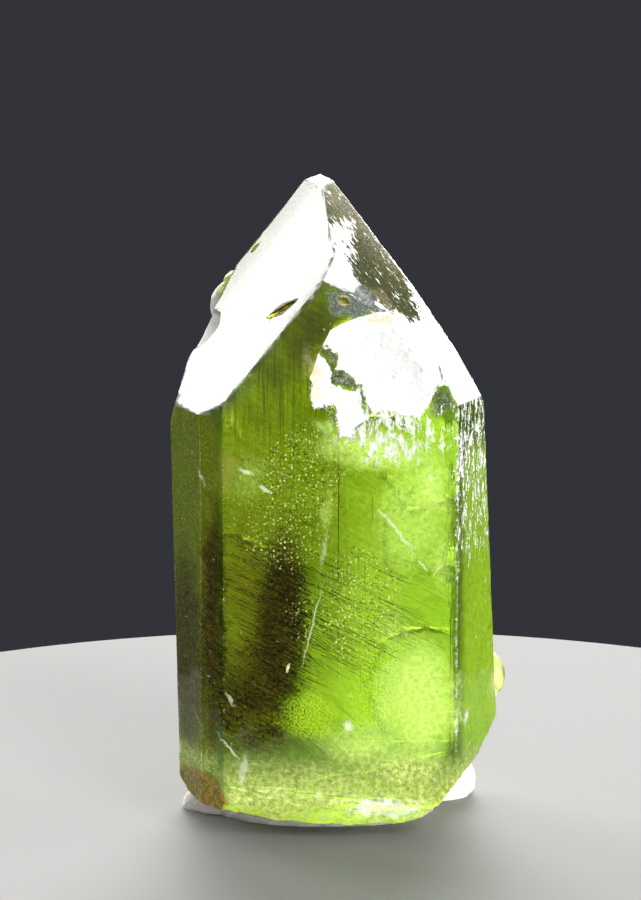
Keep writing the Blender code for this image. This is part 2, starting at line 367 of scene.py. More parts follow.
# %% Tables of the zones
# Each oval: (across, height), (half width, half height), fall to the right in degrees, core, strength
DEEP = 40.0                 # a zone that reaches right through the stone
SKIN_DEEP = 3.0             # a zone that reaches only a little way in from the front face
ZONES = {
    "cloud": (DEEP, (
        ((-2.9, 12.0), (1.8, 6.0), 5.0, 0.5, 1.0),
        ((-4.3, 7.5), (3.3, 2.7), 24.0, 0.5, 1.0),
        ((-6.4, 12.0), (0.8, 7.8), 0.0, 0.6, 1.0),
        ((-8.0, 10.0), (1.5, 7.6), 0.0, 0.4, 0.9),
        ((-0.9, 28.0), (1.6, 2.8), 42.0, 0.3, 0.75),
    )),
    "ochre": (DEEP, (((-4.7, 13.6), (1.0, 6.0), 0.0, 0.45, 0.8),)),
    "striped": (DEEP, (
        ((-2.6, 24.6), (4.2, 4.6), 0.0, 0.5, 1.0),
        ((-8.5, 16.0), (2.4, 30.0), 0.0, 0.6, 0.4),
    )),
    "milk": (SKIN_DEEP, (
        ((4.3, 18.4), (2.7, 4.8), 10.0, 0.2, 0.50),
        ((5.2, 19.8), (1.4, 2.6), 8.0, 0.0, 1.0),
        ((5.9, 16.0), (1.0, 3.0), 0.0, 0.0, 0.55),
        ((2.4, 21.8), (4.4, 1.4), 6.0, 0.1, 0.95),
        ((4.8, 8.0), (2.6, 4.4), 0.0, 0.3, 1.0),
        ((4.2, 4.2), (3.0, 2.0), 0.0, 0.2, 0.95),
        ((3.4, 12.0), (2.2, 1.8), 30.0, 0.0, 0.40),
        ((-4.5, 20.4), (1.7, 2.4), 0.0, 0.0, 0.26),
        ((-0.3, 18.6), (0.45, 3.4), 3.0, 0.0, 0.40),
        ((-0.2, 22.9), (1.7, 0.5), 28.0, 0.0, 0.7),
        ((1.8, 5.4), (3.6, 2.2), 0.0, 0.0, 0.80),
    )),
    "lime": (SKIN_DEEP, (
        ((-1.2, 7.2), (2.0, 1.9), 10.0, 0.3, 0.70),
        ((1.6, 13.6), (2.2, 2.8), 0.0, 0.2, 0.40),
        ((3.0, 8.6), (3.6, 4.4), 0.0, 0.2, 0.65),
        ((-1.0, 19.2), (2.0, 2.6), 20.0, 0.0, 0.20),
    )),
    "swarm": (SKIN_DEEP, (
        ((-1.6, 20.4), (2.6, 3.3), 20.0, 0.5, 1.0),
        ((-2.6, 17.0), (3.4, 2.6), 10.0, 0.3, 0.6),
        ((1.6, 13.4), (2.6, 3.8), 0.0, 0.5, 0.9),
        ((-1.4, 12.6), (1.6, 3.6), 0.0, 0.2, 0.5),
        ((3.0, 8.5), (4.2, 5.5), 0.0, 0.3, 0.35),
        ((-4.4, 19.0), (2.2, 4.6), 0.0, 0.4, 0.35),
    )),
    "lobes": (SKIN_DEEP, (
        ((2.9, 26.5), (3.3, 3.0), 16.0, 0.75, 1.0),
        ((-0.4, 25.4), (0.75, 1.5), 14.0, 0.6, 1.0),
        ((0.5, 23.4), (0.9, 1.3), -16.0, 0.4, 0.9),
        ((4.9, 27.4), (1.5, 1.9), -30.0, 0.7, 1.0),
        ((4.8, 24.9), (1.3, 0.7), -10.0, 0.3, 0.9),
    )),
    "gaps": (SKIN_DEEP, (
        ((-0.2, 26.8), (0.85, 0.42), 58.0, 0.3, 1.0),
        ((0.7, 25.7), (1.0, 0.62), 34.0, 0.3, 1.0),
        ((1.7, 24.6), (0.30, 1.7), -18.0, 0.2, 0.8),
        ((3.4, 23.5), (1.9, 0.6), 10.0, 0.3, 1.0),
        ((5.7, 24.4), (0.8, 0.9), 0.0, 0.3, 1.0),
        ((0.0, 23.5), (0.5, 1.2), -14.0, 0.2, 0.6),
    )),
    "feathers": (SKIN_DEEP, (((3.2, 23.0), (4.6, 3.0), 4.0, 0.3, 1.0),)),
    "gable_patch": (4.0, (((1.6, 29.8), (1.9, 1.15), 14.0, 0.7, 1.0),)),
    "dark_top": (SKIN_DEEP, (
        ((-1.1, 28.6), (1.5, 3.3), 42.0, 0.4, 0.85),
        ((-2.6, 26.2), (2.2, 3.8), 38.0, 0.1, 0.60),
    )),
    "beige": (SKIN_DEEP, (
        ((-0.9, 25.8), (0.35, 1.9), -10.0, 0.45, 1.0),
        ((2.6, 29.1), (1.2, 0.25), -6.0, 0.45, 1.0),
    )),
    "white_foot": (SKIN_DEEP, (((2.9, 2.0), (2.4, 0.9), 0.0, 0.2, 1.0),)),
    "milky_corner": (SKIN_DEEP, (((-5.7, 20.6), (0.9, 1.8), 0.0, 0.2, 1.0),)),
    # painted reflection: a bright yellow-green reflection of light at the upper left corner of the front face
    "corner": (SKIN_DEEP, (((-5.35, 23.2), (0.55, 1.3), -6.0, 0.3, 1.0),)),
}
# Zones off the front face: centre and radii as (across, depth, height)
SIDE_ZONES = {
    "amber": ((-7.2, 2.0, 2.6), (1.9, 9.0, 1.7)),
    "shoulder_chip": ((-7.3, 7.7, 27.0), (2.2, 5.0, 2.6)),
    "right_nub": ((8.9, 7.0, 7.9), (0.75, 3.0, 1.9)),
    "left_nub": ((-5.9, 9.4, 29.2), (1.0, 1.3, 1.5)),
}
SIDE_CORE = 0.6
RIM = 1.1                   # where an oval ends, as a share of its radii
ZONE_SEED = 7               # noise_vector takes its offsets from a seed, and from the clock without one


# %% Work the zones out for each point
def oval_values(spots, centre, radii, fall, core):
    """1 inside an oval and 0 outside, for all the points at once."""
    turn = math.radians(fall)
    away = spots - np.array(centre)
    along = (away[:, 0] * math.cos(turn) - away[:, 2] * math.sin(turn)) / radii[0]
    upward = (away[:, 0] * math.sin(turn) + away[:, 2] * math.cos(turn)) / radii[2]
    reach = np.sqrt(along ** 2 + (away[:, 1] / radii[1]) ** 2 + upward ** 2)
    share = np.clip((reach - core) / (RIM - core), 0.0, 1.0)
    return 1.0 - share * share * (3.0 - 2.0 * share)


def store(mesh, name, values):
    mesh.attributes.new(name, "FLOAT", "POINT").data.foreach_set("value", values.astype(np.float32))


def store_zones(mesh):
    noise.seed_set(ZONE_SEED)
    spots = [from_centre(vert.co) for vert in mesh.vertices]
    spots = np.array([spot + noise.noise_vector(spot * 0.8) * 0.45 + noise.noise_vector(spot * 2.0) * 0.15
                      for spot in spots])
    for name, (reach, table) in ZONES.items():
        values = np.zeros(len(spots))
        for (across, height), (half_width, half_height), fall, core, strength in table:
            oval = oval_values(spots, (across, 0.0, height), (half_width, reach, half_height), fall, core)
            values = np.maximum(values, oval * strength)
        store(mesh, name, values)
    for name, (centre, radii) in SIDE_ZONES.items():
        store(mesh, name, oval_values(spots, centre, radii, 0.0, SIDE_CORE))
    return len(ZONES) + len(SIDE_ZONES)


print(f"{store_zones(crystal.data)} zones stored as attributes")

# %% [markdown]
# ## The crystal's finish
#
# Clear stone is one shader: full transmission, peridot's own IOR of 1.67, and plain volume absorption, which
# takes out blue and some red along the way, so that thick places come out deeper green. Over it lies a second
# shader, a rough white crust. A Mix Shader's factor says how much of it covers the stone: all of it in the
# scar, streaks of it down the right, some of them painted sparkles of light, white with painted glare on the
# left facet, a thin milky veil elsewhere.
#
# The zones of brown and olive are tints on the clear shader, so that light takes on their colour on its way
# through.

# %% Values for the crystal's finish
PERIDOT_IOR = 1.67
GREEN_PASSED = (0.74, 0.93, 0.0, 1.0)
GREEN_DENSITY = 230.0
CRUST_SHINE = 0.08          # a crust of weathered grains has hardly any shine of its own
CRUST_RELIEF = 0.1 * MM
WAVE_RELIEF = 0.05 * MM
CLEAR_ROUGHNESS = 0.03      # of the front face
BACK_ROUGHNESS = 0.45       # is added on the faces behind, which are etched and dull

STONE_CLEAR = (1.0, 1.0, 0.80, 1.0)
LEAF = (0.52, 0.66, 0.05, 1.0)
OLIVE = (0.36, 0.33, 0.01, 1.0)
DARK_LINE = (0.05, 0.06, 0.002, 1.0)
BROWN = (0.030, 0.016, 0.001, 1.0)
UMBER = (0.14, 0.080, 0.003, 1.0)
OCHRE = (0.36, 0.26, 0.01, 1.0)


# %% What the layers ask about a surface point
class Spot:
    """A surface point in millimetres, and the patterns that several layers share."""

    def __init__(self, start):
        self.start = start
        self.point = object_millimetres(start)
        self.across, self.depth, self.height = parts_of(self.point)
        self.fine = self.point.noise(3.4, 3.0, 0.7)
        self.grain = self.point.noise(9.0, 2.0, 0.7)
        self.front = self.depth.fall(0.9, 2.4)

    def mark(self, name):
        return self.start.mark(name)


class Crust:
    """Layers laid one over another: how much of the stone they cover, and their colour."""

    def __init__(self, cover, colour):
        self.cover = cover
        self.colour = colour

    def lay(self, mask, colour, soft=0.3):
        self.cover = self.cover.greater(mask)
        self.colour = mask.step(0.03, soft).blend(self.colour, colour)

    def stain(self, mask, colour):
        self.colour = mask.blend(self.colour, colour)


def patches(point, table, reach):
    """The strongest of the ovals in a table of place, half sizes, tilt, core and strength."""
    total = None
    for (across, height), (half_width, half_height), tilt, core, strength in table:
        oval = point.oval((across, 0.0, height), (half_width, reach, half_height), tilt, core) * strength
        total = oval if total is None else total.greater(oval)
    return total


def hatching(point, slope, fine_scale):
    """Fine lines that fall to the right by this slope, like the needles."""
    values = {"Vector": point, "Rotation": (0.0, math.radians(slope), 0.0), "Scale": (3.0, 1.0, 0.22)}
    return point.node("ShaderNodeMapping", {"vector_type": "TEXTURE"}, values).noise(fine_scale, 3.0, 0.7)


def dots(point, scale, size, share):
    """Round dots on the front face, in only this share of a net of cells, no two the same strength."""
    across, depth, height = parts_of(point)
    values = {"Vector": point.joined((across, height)), "Scale": scale}
    distance = point.node("ShaderNodeTexVoronoi", {"voronoi_dimensions": "2D"}, values, "Distance")
    cell = Wire(point.tree, distance.socket.node.outputs["Color"]).channels()
    chosen = cell[0].step(1.0 - share, 1.0 - share * 0.4)
    return distance.fall(size * 0.6, size * 1.2) * chosen * (cell[1] * 0.6 + 0.4)


# %% Tints of the clear stone
def stone_tint(spot):
    """Green at the right and below, olive at the upper left, a brown cloud at the lower left."""
    lines = spot.point.vector("MULTIPLY", (2.6, 2.6, 0.12)).noise(1.0, 2.0, 0.65)
    hatch = hatching(spot.point, 29.0, 1.3)
    plain = 1.0 - (hatch * 0.55 + spot.fine * 0.6).step(0.42, 0.72)
    coarse = spot.point.noise(0.45, 2.0, 0.6)
    ragged_across = spot.across + (lines - 0.5) * 3.5 + (coarse - 0.5) * 3.0
    left = (ragged_across - spot.height.step(6.0, 26.0) * 3.6).fall(-4.0, 2.2)
    tint = (plain * (0.35 + coarse * 0.8)).blend(STONE_CLEAR, LEAF)
    tint = (left * (0.6 + coarse * 0.4 + plain * 0.3)).blend(tint, OLIVE)
    tint = spot.mark("ochre").blend(tint, OCHRE)

    fine_lines = spot.point.vector("MULTIPLY", (7.0, 7.0, 0.22)).noise(1.0, 3.0, 0.75)
    stripes = fine_lines.step(0.47, 0.60) * spot.mark("striped") * 0.85
    speckle = ((1.0 - spot.grain) * 0.7 + (1.0 - hatch) * 0.45).step(0.58, 0.74) * (left * 0.7 + 0.15)
    tint = stripes.greater(speckle).blend(tint, DARK_LINE)
    brown = spot.mark("cloud") * (0.5 + lines * 0.4 + plain * 0.6)
    return brown.blend(tint, (1.0 - plain).blend(BROWN, UMBER))


# %% [markdown]
# The crust is laid in layers, each with its own mask and colour. A layer can only add to how much of the
# stone is covered, and its colour goes over those below it. Most masks are a zone from the mesh, broken up by
# the two shared noises. Only the glints are drawn here, as ovals in the material, because they are too small
# for the grid: wisps, threads, the rim of a healed crack, the wedge of a fracture at the lower left, and two
# painted highlights, bright spots of light low in the middle and at the right.

# %% Patches on the front
GLINTS = (
    ((-4.62, 20.7), (0.66, 0.22), 34.0, 0.0, 0.85),
    ((-3.65, 19.8), (0.58, 0.20), 26.0, 0.0, 0.80),
    ((-2.6, 20.6), (1.3, 0.08), 32.0, 0.0, 0.30),
    ((-1.1, 12.2), (0.10, 3.6), 14.9, 0.1, 0.45),
    ((-0.45, 16.4), (0.24, 1.7), 9.0, 0.0, 0.32),
    ((3.45, 17.5), (2.3, 0.13), 52.0, 0.1, 0.75),
    ((4.9, 15.6), (0.62, 0.12), 50.0, 0.0, 0.70),
    ((5.75, 15.4), (0.85, 0.10), -52.0, 0.0, 0.55),
    ((5.3, 20.35), (0.16, 0.28), 0.0, 0.0, 0.9),
    ((-5.65, 5.55), (1.35, 0.11), 50.0, 0.2, 0.55),
    ((-4.85, 4.3), (0.30, 1.1), 10.0, 0.2, 0.50),
    ((-5.6, 8.2), (0.78, 0.17), 48.0, 0.0, 0.45),
    ((-2.38, 9.9), (0.13, 0.30), 24.0, 0.4, 0.8),
    # painted highlights: two bright spots of light, low in the middle and at the right
    ((0.87, 6.7), (0.34, 0.50), -10.0, 0.0, 0.9),
    ((7.35, 6.95), (0.30, 0.62), 6.0, 0.0, 0.85),
    ((-7.1, 20.2), (0.18, 0.8), -24.0, 0.0, 0.5),
    ((-8.0, 15.6), (0.8, 0.06), 38.0, 0.0, 0.45),
    ((-7.6, 7.0), (1.6, 0.07), 50.0, 0.0, 0.45),
)
GLINT_WHITE = (0.80, 0.90, 0.52, 1.0)
GRAIN_YELLOW = (0.60, 0.72, 0.20, 1.0)
MILK_GREEN = (0.60, 0.87, 0.16, 1.0)
SKIN_OLIVE = (0.22, 0.26, 0.012, 1.0)
SKIN_OCHRE = (0.15, 0.110, 0.008, 1.0)
SKIN_BROWN = (0.036, 0.022, 0.002, 1.0)
SKIN_UMBER = (0.110, 0.070, 0.006, 1.0)
SKIN_LIGHT = (0.34, 0.34, 0.06, 1.0)


# %% The white patch of the scar
def scar_crust(spot):
    """Full over the etched ledge, with dark gaps, ragged lobes, and feathers below."""
    broken = spot.point.noise(1.5, 4.0, 0.8)
    lobes = spot.mark("lobes").greater(spot.mark("scar") * 0.75)
    gaps = spot.mark("gaps") * (spot.grain * 1.4 + 0.7)
    solid = (lobes * 1.2 + (spot.fine - 0.5) * 1.4 + (broken - 0.5) * 1.2 - gaps).step(0.28, 0.62)
    feathers = spot.point.vector("MULTIPLY", (1.0, 1.0, 0.4)).noise(2.8, 3.0, 0.75)
    below = spot.mark("feathers")
    fringe = (below * 0.55 + (feathers - 0.5) * 2.4).step(0.35, 0.85) * below.step(0.05, 0.4)
    return solid.greater(fringe * 0.85)


# %% Streaks and painted sparkles on the right
EDGE_LINE = 6.74            # how far across the front face's right edge lies


def right_crust(spot):
    """Streaks down the right front facet of the point, and painted sparkles of light down the narrow faces
    under it.
    """
    low_right = (spot.depth - (spot.height - 27.2) * 1.54 + (spot.fine - 0.5) * 3.0).step(-0.3, 0.9)
    near_ridge = spot.across.fall(0.6, 1.6) * spot.height.fall(33.2, 34.2) * 0.20
    wear = hatching(spot.point, 56.0, 1.9) * 0.75 + spot.fine * 0.3 + low_right * 0.42 + near_ridge
    white = spot.mark("right_facet") * wear.step(0.59, 0.72)
    white = white.greater(spot.mark("shoulder") * (spot.fine + 0.05 + low_right * 0.4))
    # painted reflection: white sparkles of light down the striated narrow faces under the right facet
    upright = spot.point.vector("MULTIPLY", (2.2, 2.2, 0.75)).noise(1.5, 4.0, 0.8)
    flank = spot.across.step(6.2, 6.8) * spot.height.step(13.5, 21.0) * spot.height.fall(24.6, 27.0)
    sparkle_streaks = (upright * 0.8 + spot.grain * 0.3 + flank * 0.06).step(0.60, 0.70) * flank.step(0.0, 0.3)
    white = white.greater(sparkle_streaks * 0.8)
    line = (spot.across - EDGE_LINE + (spot.fine - 0.5) * 0.5).maths("ABSOLUTE").fall(0.02, 0.12)
    line = line * spot.depth.fall(0.5, 1.0) * spot.height.step(4.0, 6.0) * spot.height.fall(23.0, 25.0)
    return white.greater(line * (spot.fine * 0.6 + spot.grain * 0.6).step(0.55, 0.75) * 0.6)


# %% Colours of the thicker crusts
CRUST_WHITE = (0.95, 0.955, 0.93, 1.0)
CRUST_BEIGE = (0.80, 0.66, 0.40, 1.0)
# the grey of the painted soft shade along the lower edge of the left facet's glare
FACET_SHADE_GREY = (0.20, 0.23, 0.18, 1.0)
FOOT_YELLOW = (0.66, 0.74, 0.24, 1.0)
FOOT_GREEN = (0.40, 0.56, 0.07, 1.0)
LIME_GREEN = (0.40, 0.68, 0.02, 1.0)
CORNER_REFLECTION_YELLOW = (0.44, 0.52, 0.03, 1.0)
NUB_YELLOW = (0.62, 0.72, 0.22, 1.0)
AMBER = (0.46, 0.30, 0.07, 1.0)
RUST = (0.17, 0.085, 0.014, 1.0)
GREY = (0.085, 0.095, 0.105, 1.0)
GREY_LIGHT = (0.26, 0.28, 0.27, 1.0)
TOP_DARK = (0.050, 0.054, 0.008, 1.0)
EDGE_GREEN = (0.04, 0.09, 0.02, 1.0)
BORDER_OLIVE = (0.13, 0.14, 0.07, 1.0)
TIP_BROWN = (0.20, 0.17, 0.06, 1.0)
TIP_DARK = (0.055, 0.050, 0.015, 1.0)
SPOT_YELLOW = (0.55, 0.50, 0.18, 1.0)
SLIVER_BROWN = (0.16, 0.07, 0.02, 1.0)


# %% Skin of the left side
def left_skin(spot):
    """The first layers: olive above, brown below, with pale grains that follow the needles' slope."""
    mottle = (hatching(spot.point, 32.0, 2.2) * 0.5 + spot.grain * 0.6).step(0.47, 0.68)
    left = spot.across.fall(-3.4, -0.6) * spot.height.fall(24.0, 29.0) * (0.4 + spot.front * 0.6)
    flank = spot.across.fall(-6.5, -5.9)
    side_cover = flank * (0.45 + mottle * 0.5) * spot.height.fall(23.4, 24.4)
    cover = (left * (0.06 + mottle * 0.34)).greater(side_cover)
    light = (spot.grain * 0.6 + spot.fine * 0.5).step(0.61, 0.72) * (flank * 0.5 + 0.4)
    colour = spot.mark("ochre").blend(SKIN_OLIVE, SKIN_OCHRE)
    colour = light.blend(colour, SKIN_LIGHT)
    dark = mottle.blend(SKIN_BROWN, SKIN_UMBER)
    return Crust(cover, (spot.mark("cloud") * (1.0 - light * 0.5)).blend(colour, dark))


# %% Haze and frost
def lay_haze(crust, spot):
    """Milk in the right half, and a frosted foot with dirt in it."""
    flank = spot.across.step(6.6, 7.4) * spot.height.fall(21.0, 23.0) * 0.45 * (spot.fine + spot.grain * 0.4)
    lime = spot.mark("lime") * spot.grain.step(0.30, 0.62)
    crust.lay(lime.greater(flank), LIME_GREEN)
    crust.lay(spot.mark("milk") * (spot.fine * 1.9 - 0.15) * spot.front, MILK_GREEN)

    drift = (spot.point.noise(0.5, 3.0, 0.65) - 0.5) * 5.0 + (spot.fine - 0.5) * 2.0
    frost = (5.6 - spot.height + drift).step(0.0, 3.4) * spot.across.step(-6.0, -4.4) * spot.front
    broken = 0.9 + (spot.fine - 0.5) * 1.1 + (spot.grain - 0.5) * 0.4
    pale = (spot.fine * 0.9 + spot.grain * 0.2).step(0.42, 0.68).blend(FOOT_GREEN, FOOT_YELLOW)
    crust.lay((spot.mark("foot") * 0.85).greater(frost * 0.7) * broken, pale)
    rusty = (spot.mark("amber") + (spot.fine - 0.5) * 2.4).step(0.30, 1.10) * spot.mark("amber")
    crust.lay(rusty * (0.5 + spot.grain * 0.5), spot.fine.step(0.36, 0.60).blend(RUST, AMBER), 0.6)
    crust.lay(spot.mark("white_foot") * (spot.fine * 1.6 - 0.4), CRUST_WHITE)
    dirt = ((1.0 - spot.grain) * 0.8 + (1.0 - spot.fine) * 0.3).step(0.71, 0.80)
    crust.lay(dirt * spot.height.fall(3.0, 6.5) * 0.8, SKIN_BROWN)


# %% Grains and glints
def lay_glints(crust, spot):
    """The swarms of pale grains just under the surface, bright wisps and threads, and painted highlights and
    reflection.
    """
    swarm = spot.mark("swarm").step(0.05, 0.7) * spot.front * 0.85
    grains = dots(spot.point, 2.9, 0.20, 0.9).greater(dots(spot.point, 5.2, 0.22, 0.75) * 0.75)
    crust.lay(grains * swarm, GRAIN_YELLOW)
    # painted reflection at the upper left corner, broken up by fine lines
    reflection_lines = spot.point.vector("MULTIPLY", (7.0, 7.0, 1.2)).noise(1.0, 3.0, 0.75).step(0.48, 0.58)
    crust.lay(spot.mark("corner") * reflection_lines * 0.7, CORNER_REFLECTION_YELLOW)
    crust.lay(spot.mark("milky_corner") * 0.5, SKIN_LIGHT)
    glints = patches(spot.point.ragged(1.6, 0.5), GLINTS, SKIN_DEEP)
    crust.lay(glints * (0.2 + spot.grain + spot.fine * 0.5), GLINT_WHITE, 0.35)


# %% Greys and browns of the point
FACET_RISE = (-0.788, 0.0, 0.616)   # at a right angle to the left facet's lower edge, up the front face


def lay_point_stains(crust, spot):
    """The soft border under the left facet, the dark patch on the gable, the brown tip, the nubs."""
    slope = spot.point.vector("DOT_PRODUCT", FACET_RISE, out="Value") + (spot.fine - 0.5) * 0.7
    along = spot.height.step(21.5, 24.5) * spot.height.fall(31.5, 33.0) * spot.across.step(-7.4, -6.2)
    strong = 0.25 + spot.height.step(23.0, 31.0) * 0.4
    crust.lay(slope.step(18.3, 19.5) * slope.fall(19.56, 20.4) * along * strong, BORDER_OLIVE)
    granules = (spot.grain * 0.7 + spot.fine * 0.4).step(0.50, 0.66)
    back_edges = spot.mark("edge").step(0.1, 0.5) * spot.depth.step(6.0, 8.0)
    back_edges = back_edges * spot.height.step(2.5, 4.5) * spot.height.fall(22.0, 26.0)
    crust.lay(back_edges * 0.5, EDGE_GREEN)
    crust.lay(spot.mark("dark_top") * (0.45 + spot.fine * 0.9 - spot.grain * 0.3), TOP_DARK, 0.5)
    crust.lay(spot.mark("gaps") * (0.3 + spot.grain), granules.blend(TOP_DARK, GREY_LIGHT), 0.5)
    crust.lay(spot.mark("gable_patch") * (0.55 + spot.grain * 0.7), granules.blend(GREY, GREY_LIGHT), 0.6)
    film = (0.30 + spot.depth.step(2.0, 7.0) * 0.45) * (0.6 + spot.grain * 0.8)
    crust.lay(spot.mark("right_facet") * film, granules.blend(TIP_DARK, TIP_BROWN))
    nubs = (spot.mark("right_nub") * spot.across.step(8.1, 8.6)).greater(spot.mark("left_nub"))
    crust.lay(nubs * 0.7, NUB_YELLOW)


# %% White crust
def lay_white(crust, spot):
    """White of the left facet with its painted glare, the gable, scar, right side, tip and worn edges."""
    off_foot = 1.0 - spot.mark("foot").step(0.0, 0.05)
    worn = (spot.mark("edge") + (spot.fine - 0.5) * 1.8).step(1.0, 1.35)
    white = worn * off_foot * spot.depth.fall(4.0, 7.0) * 0.7
    # painted highlight: the left facet's white is partly its frost and partly the glare of the light painted
    # in
    white = white.greater(spot.mark("left_facet") * (0.5 + (spot.fine - 0.5) * 0.6))
    white = white.greater(spot.mark("shoulder_chip") * (1.0 - spot.mark("left_facet")) * 0.95)
    white = white.greater(spot.mark("gable") * (spot.fine * 0.8 + 0.6) * (1.0 - spot.mark("gable_patch")))
    white = white.greater(spot.height.step(35.2, 35.9) * spot.across.fall(0.0, 0.8) * 0.9)
    white = white.greater(right_crust(spot))
    white = white.greater(scar_crust(spot))
    crust.lay(white, CRUST_WHITE)
    # painted shade: a soft grey band that darkens the left facet's white towards its lower edge
    rise = spot.point.vector("DOT_PRODUCT", FACET_RISE, out="Value") + (spot.fine - 0.5) * 1.2
    crust.stain(spot.mark("left_facet") * rise.fall(19.7, 21.3) * 0.8, FACET_SHADE_GREY)
    crust.stain(spot.mark("beige") * (spot.fine * 1.6 - 0.1), CRUST_BEIGE)
    sliver_pit = spot.point.oval((-2.72, 1.53, 29.32), (0.30, 1.4, 1.3), 56.0, 0.6, 0.9)
    crust.lay(sliver_pit * 0.9, SLIVER_BROWN)
    yellow_spot = spot.point.oval((0.6, 0.3, 30.0), (0.40, 0.9, 0.38), 0.0, 0.2, 1.1)
    crust.lay(yellow_spot * (spot.fine + 0.3), SPOT_YELLOW)


# %% Put the crystal's shaders together
def peridot_material():
    material, start, output = new_material("peridot")
    spot = Spot(start)
    crust = left_skin(spot)
    lay_haze(crust, spot)
    lay_glints(crust, spot)
    lay_point_stains(crust, spot)
    lay_white(crust, spot)
    relief = start.node("ShaderNodeBump", None, {
        "Height": spot.fine + spot.grain * 0.4, "Strength": 0.5, "Distance": CRUST_RELIEF,
    })
    rough_stone = start.principled({
        "Base Color": crust.colour, "Roughness": 0.6, "IOR": PERIDOT_IOR,
        "Specular IOR Level": CRUST_SHINE, "Normal": relief,
    })

    back = spot.depth.step(3.0, 9.0)
    roughness = CLEAR_ROUGHNESS + back * BACK_ROUGHNESS
    lines = spot.point.vector("MULTIPLY", (4.0, 4.0, 0.25)).noise(1.0, 3.0)
    wave = start.node("ShaderNodeBump", None, {"Height": lines, "Strength": 0.3, "Distance": WAVE_RELIEF})
    clear_stone = start.principled({
        "Base Color": stone_tint(spot), "Roughness": roughness, "IOR": PERIDOT_IOR,
        "Transmission Weight": 1.0, "Normal": wave,
    })
    surface = start.node("ShaderNodeMixShader", None, {0: crust.cover, 1: clear_stone, 2: rough_stone})
    inside = start.node("ShaderNodeVolumeAbsorption", None, {"Color": GREEN_PASSED, "Density": GREEN_DENSITY})
    material.node_tree.links.new(inside.socket, output.inputs["Volume"])
    return dress(material, output, surface)


crystal.data.materials.append(peridot_material())
print("crystal finish: IOR", PERIDOT_IOR, "absorption density", GREEN_DENSITY)

# %% [markdown]
# ## What is caught inside
#
# The stone is full of needles, specks and flakes. They are real small shapes inside the clear body, so they
# shift against each other when the view turns. Each is a rod or a grain of a few faces from a bmesh operator,
# and all the ones of a kind are joined in one mesh. A helper throws seeded random places into an oval room
# and keeps those that lie inside the crystal's walls, which a BVH tree of the surface tells.

# %% Helpers for inclusions
SEED = 11
dice = random.Random(SEED)
WALL = 0.10                 # how far an inclusion stays inside the surface


def is_inside(spot, wall=WALL):
    """Whether a place in metres lies inside the crystal, at least this many millimetres from its surface."""
    nearest, normal, _, distance = crystal_walls.find_nearest(spot)
    return distance > wall * MM and (spot - nearest).dot(normal) < 0.0


def throw(centre, radii, near_front=1.0):
    """A random place in millimetres in an oval room. A power above 1 gathers places at the room's front."""
    while True:
        share = Vector([dice.uniform(-1.0, 1.0) for _ in range(3)])
        if share.length < 1.0:
            depth = centre[1] - radii[1] + 2.0 * radii[1] * ((share.y + 1.0) / 2.0) ** near_front
            return centre[0] + share.x * radii[0], depth, centre[2] + share.z * radii[2]


def place_at(spot):
    """The same as place, for a place thrown as across, depth, height."""
    return place(spot[0], spot[2], spot[1])


def leaning(slope, spread, into):
    """A direction that falls to the right by the slope in degrees, give or take the spread, and goes into
    the stone or out of it by up to that many degrees."""
    fall = math.radians(slope + dice.gauss(0.0, spread))
    turn = math.radians(dice.uniform(-into, into))
    return Vector((math.cos(fall) * math.cos(turn), math.sin(turn), -math.sin(fall) * math.cos(turn)))


def add_rod(bm, middle, way, length, radius, sides=3, thin_end=0.4):
    """A rod of a few faces through a place in metres; it's left out where an end would leave the crystal."""
    half = way * (length * MM / 2.0)
    if not (is_inside(middle + half) and is_inside(middle - half)):
        return 0
    turn = way.to_track_quat("Z", "Y").to_matrix().to_4x4()
    bmesh.ops.create_cone(
        bm, cap_ends=True, segments=sides, radius1=radius * MM, radius2=radius * thin_end * MM,
        depth=length * MM, matrix=Matrix.Translation(middle) @ turn,
    )
    return 1


def throw_rods(bm, rooms, spread, into, near_front):
    """Rods in rooms of centre, radii, how many, slope, shortest and longest, thinnest and thickest."""
    for centre, radii, count, slope, lengths, thickness in rooms:
        for _ in range(count):
            way = leaning(slope, spread, into)
            middle = place_at(throw(centre, radii, near_front))
            add_rod(bm, middle, way, dice.uniform(*lengths), dice.uniform(*thickness))


def finish_inclusion(name, bm, material):
    piece = finish_mesh(name, bm, math.radians(40.0))
    piece.data.materials.append(material)
    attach(piece, "root")
    print(f"{name}: {len(piece.data.polygons)} faces")
    return piece


def grain_material(name, first, second, roughness):
    """An opaque finish that changes between two colours from grain to grain."""
    material, start, output = new_material(name)
    point = object_millimetres(start)
    shade = point.noise(1.7, 2.0).step(0.35, 0.65)
    values = {"Base Color": shade.blend(first, second), "Roughness": roughness + shade * 0.2}
    return dress(material, output, start.principled(values))


# %% [markdown]
# The needles are dark fibres that run almost parallel, down to the right. Most cross the middle of the stone,
# and long ones reach from the brown cloud into the green. Each room gives its centre, its radii, how many
# needles it holds, their slope and their length.

# %% Dark needles
NEEDLE_ROOMS = (
    ((0.3, 2.2, 12.2), (4.2, 2.0, 4.2), 150, 27.0, (1.2, 4.6), (0.010, 0.026)),
    ((-3.4, 2.0, 12.0), (3.2, 1.8, 5.0), 130, 30.0, (0.8, 3.2), (0.010, 0.028)),
    ((-0.6, 1.6, 5.4), (2.8, 1.4, 2.6), 46, 44.0, (1.2, 3.6), (0.010, 0.022)),
    ((3.4, 3.2, 13.4), (3.0, 2.6, 3.4), 40, 24.0, (1.0, 3.0), (0.010, 0.020)),
    ((-4.6, 1.2, 15.0), (1.6, 1.0, 1.8), 26, 22.0, (0.8, 2.4), (0.009, 0.018)),
)


FIBRE_DARK = (0.02, 0.014, 0.003, 1.0)
FIBRE_BROWN = (0.06, 0.035, 0.008, 1.0)


